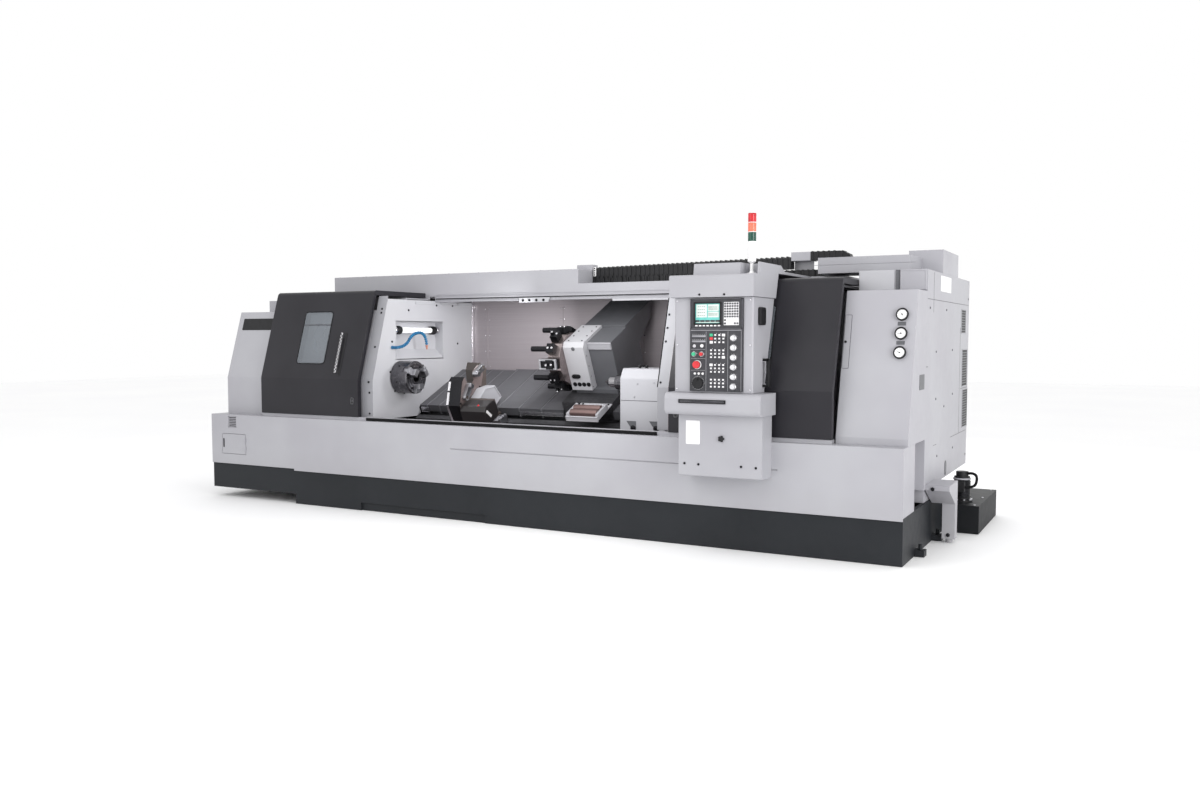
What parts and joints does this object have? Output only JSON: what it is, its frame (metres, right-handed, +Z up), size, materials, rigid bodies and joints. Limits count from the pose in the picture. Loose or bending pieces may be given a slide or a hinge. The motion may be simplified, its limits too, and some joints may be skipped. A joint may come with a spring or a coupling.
{
  "type": "cnc turning lathe",
  "caption": "Slant-bed CNC turning lathe with wrap-over sliding doors, chuck, turret, tailstock, steady rest and a swinging operator console.",
  "frame": {"origin": "on the floor under the middle of the base, at its mid length and mid depth", "axes": "+X along the spindle from the headstock to the tailstock, -Y towards the operator, +Z up"},
  "size_m": [6.981, 2.931, 2.442],
  "materials": {
    "light_paint": "satin light warm grey",
    "charcoal_paint": "satin charcoal",
    "base_paint": "satin dark blue grey",
    "casting_paint": "satin machine grey over cast iron",
    "cast_iron": "machined",
    "stainless": "brushed",
    "way_steel": "ground",
    "bright_steel": "ground and polished",
    "dark_steel": "blackened",
    "steady_paint": "satin dark brown grey",
    "black_plastic": "fine grain",
    "panel_plastic": "fine grain",
    "lamp_plastic": "diffuse tube",
    "hose_blue": "moulded",
    "signal_plastic": "moulded",
    "red_plastic": "moulded",
    "green_plastic": "moulded",
    "amber_plastic": "moulded",
    "belt_rubber": "matte",
    "door_glass": "clear laminated"
  },
  "bodies": {
    "frame": {"base_plinth": "base_paint", "levelling_feet": "base_paint", "lower_front_panel": "light_paint", "slant_bed": "cast_iron", "headstock": "casting_paint", "spindle_bearings": "bright_steel", "headstock_wall": "light_paint", "splash_guard": "stainless", "left_end_cover": "light_paint", "rear_enclosure": "light_paint", "work_lamp": "lamp_plastic", "coolant_hose": "hose_blue", "cable_chain": "black_plastic", "spindle_motor": "dark_steel", "drive_belt": "belt_rubber", "way_covers": "way_steel", "right_cabinet": "light_paint", "pressure_gauges": "black_plastic", "electrical_cabinet": "light_paint", "roof_unit": "light_paint", "coolant_tank": "base_paint", "coolant_pump": "black_plastic", "cabinet_leg": "light_paint", "console_stand": "light_paint", "console_hood": "light_paint", "stack_light": "signal_plastic"},
    "left_door": {"left_door": "charcoal_paint", "left_door_window": "door_glass", "left_door_handle": "bright_steel"},
    "right_door": {"right_door": "charcoal_paint", "right_door_window": "door_glass", "right_door_handle": "bright_steel"},
    "right_inner_door": {"right_inner_door": "charcoal_paint"},
    "spindle": {"spindle": "bright_steel", "spindle_pulley": "cast_iron", "chuck_body": "bright_steel"},
    "jaw_1": {"chuck_jaw_1": "bright_steel"},
    "jaw_2": {"chuck_jaw_2": "bright_steel"},
    "jaw_3": {"chuck_jaw_3": "bright_steel"},
    "motor_pulley": {"motor_pulley": "cast_iron"},
    "carriage": {"saddle": "cast_iron", "carriage_covers": "way_steel"},
    "cross_slide": {"cross_slide": "casting_paint", "turret_housing": "light_paint"},
    "turret": {"turret_disc": "way_steel", "turret_tools": "dark_steel"},
    "tailstock": {"tailstock": "light_paint"},
    "quill": {"quill": "bright_steel"},
    "live_centre": {"live_centre": "bright_steel"},
    "steady": {"steady_frame": "steady_paint"},
    "steady_arm_1": {"steady_arm_1": "bright_steel"},
    "steady_arm_2": {"steady_arm_2": "bright_steel"},
    "console": {"console_housing": "light_paint", "control_panel": "panel_plastic"},
    "e_stop": {"e_stop": "red_plastic"},
    "handwheel": {"handwheel": "black_plastic"},
    "cycle_start_button": {"cycle_start_button": "green_plastic"},
    "feed_hold_button": {"feed_hold_button": "amber_plastic"},
    "access_door": {"access_door": "light_paint"},
    "electrical_door": {"electrical_door": "light_paint"}
  },
  "joints": [
    {"name": "left_door_slide", "type": "slide", "parent": "frame", "child": "left_door", "axis": [1, 0, 0], "range_m": [0, 1.27]},
    {"name": "right_door_slide", "type": "slide", "parent": "frame", "child": "right_door", "axis": [-1, 0, 0], "range_m": [0, 1.808]},
    {"name": "right_inner_door_slide", "type": "slide", "parent": "frame", "child": "right_inner_door", "axis": [-1, 0, 0], "range_m": [0, 1.151]},
    {"name": "spindle_turn", "type": "hinge", "parent": "frame", "child": "spindle", "pos_m": [-1.397, -0.22, 1.19], "axis": [1, 0, 0], "continuous": true},
    {"name": "jaw_1_slide", "type": "slide", "parent": "spindle", "child": "jaw_1", "axis": [0, 0, -1], "range_m": [-0.0053, 0.0053]},
    {"name": "jaw_2_slide", "type": "slide", "parent": "spindle", "child": "jaw_2", "axis": [0, 0.866, 0.5], "range_m": [-0.0053, 0.0053]},
    {"name": "jaw_3_slide", "type": "slide", "parent": "spindle", "child": "jaw_3", "axis": [0, -0.866, 0.5], "range_m": [-0.0053, 0.0053]},
    {"name": "motor_turn", "type": "hinge", "parent": "frame", "child": "motor_pulley", "pos_m": [-2.16, 0.26, 0.64], "axis": [1, 0, 0], "continuous": true},
    {"name": "carriage_travel", "type": "slide", "parent": "frame", "child": "carriage", "axis": [1, 0, 0], "range_m": [-0.15, 0.2]},
    {"name": "cross_travel", "type": "slide", "parent": "carriage", "child": "cross_slide", "axis": [0, 0.9063, 0.4226], "range_m": [-0.138, 0.1]},
    {"name": "turret_index", "type": "hinge", "parent": "cross_slide", "child": "turret", "pos_m": [0.19, 0.16971, 1.37173], "axis": [1, 0, 0], "continuous": true},
    {"name": "tailstock_travel", "type": "slide", "parent": "frame", "child": "tailstock", "axis": [1, 0, 0], "range_m": [-0.08, 0.13]},
    {"name": "quill_travel", "type": "slide", "parent": "tailstock", "child": "quill", "axis": [1, 0, 0], "range_m": [-0.12, 0.03]},
    {"name": "live_centre_turn", "type": "hinge", "parent": "quill", "child": "live_centre", "pos_m": [0.87, -0.22, 1.19], "axis": [1, 0, 0], "continuous": true},
    {"name": "steady_travel", "type": "slide", "parent": "frame", "child": "steady", "axis": [1, 0, 0], "range_m": [-0.3, 0]},
    {"name": "steady_arm_1_swing", "type": "hinge", "parent": "steady", "child": "steady_arm_1", "pos_m": [-0.585, -0.30946, 1.02691], "axis": [-1, 0, 0], "range_deg": [0, 25]},
    {"name": "steady_arm_2_swing", "type": "hinge", "parent": "steady", "child": "steady_arm_2", "pos_m": [-0.585, -0.05625, 1.28842], "axis": [-1, 0, 0], "range_deg": [0, 25]},
    {"name": "console_swing", "type": "hinge", "parent": "frame", "child": "console", "pos_m": [1.783, -0.765, 1.167], "axis": [0, 0, -1], "range_deg": [0, 75]},
    {"name": "e_stop_press", "type": "slide", "parent": "console", "child": "e_stop", "axis": [0, 1, 0], "range_m": [0, 0.006]},
    {"name": "handwheel_turn", "type": "hinge", "parent": "console", "child": "handwheel", "pos_m": [1.94608, -0.976, 1.23508], "axis": [0, -1, 0], "continuous": true},
    {"name": "cycle_start_press", "type": "slide", "parent": "console", "child": "cycle_start_button", "axis": [0, 1, 0], "range_m": [0, 0.004], "stiffness_N_per_m": 400},
    {"name": "feed_hold_press", "type": "slide", "parent": "console", "child": "feed_hold_button", "axis": [0, 1, 0], "range_m": [0, 0.004], "stiffness_N_per_m": 400},
    {"name": "access_door_swing", "type": "hinge", "parent": "frame", "child": "access_door", "pos_m": [-2.885, -0.746, 0.525], "axis": [0, 0, 1], "range_deg": [0, 110]},
    {"name": "electrical_door_swing", "type": "hinge", "parent": "frame", "child": "electrical_door", "pos_m": [3.307, 1.882, 1.246], "axis": [0, 0, -1], "range_deg": [0, 110]}
  ],
  "couplings": [
    {"joint": "right_inner_door_slide", "follows": "right_door_slide", "ratio": 0.636},
    {"joint": "jaw_2_slide", "follows": "jaw_1_slide", "ratio": 1},
    {"joint": "jaw_3_slide", "follows": "jaw_1_slide", "ratio": 1},
    {"joint": "motor_turn", "follows": "spindle_turn", "ratio": 1.4545},
    {"joint": "steady_arm_2_swing", "follows": "steady_arm_1_swing", "ratio": 1}
  ]
}
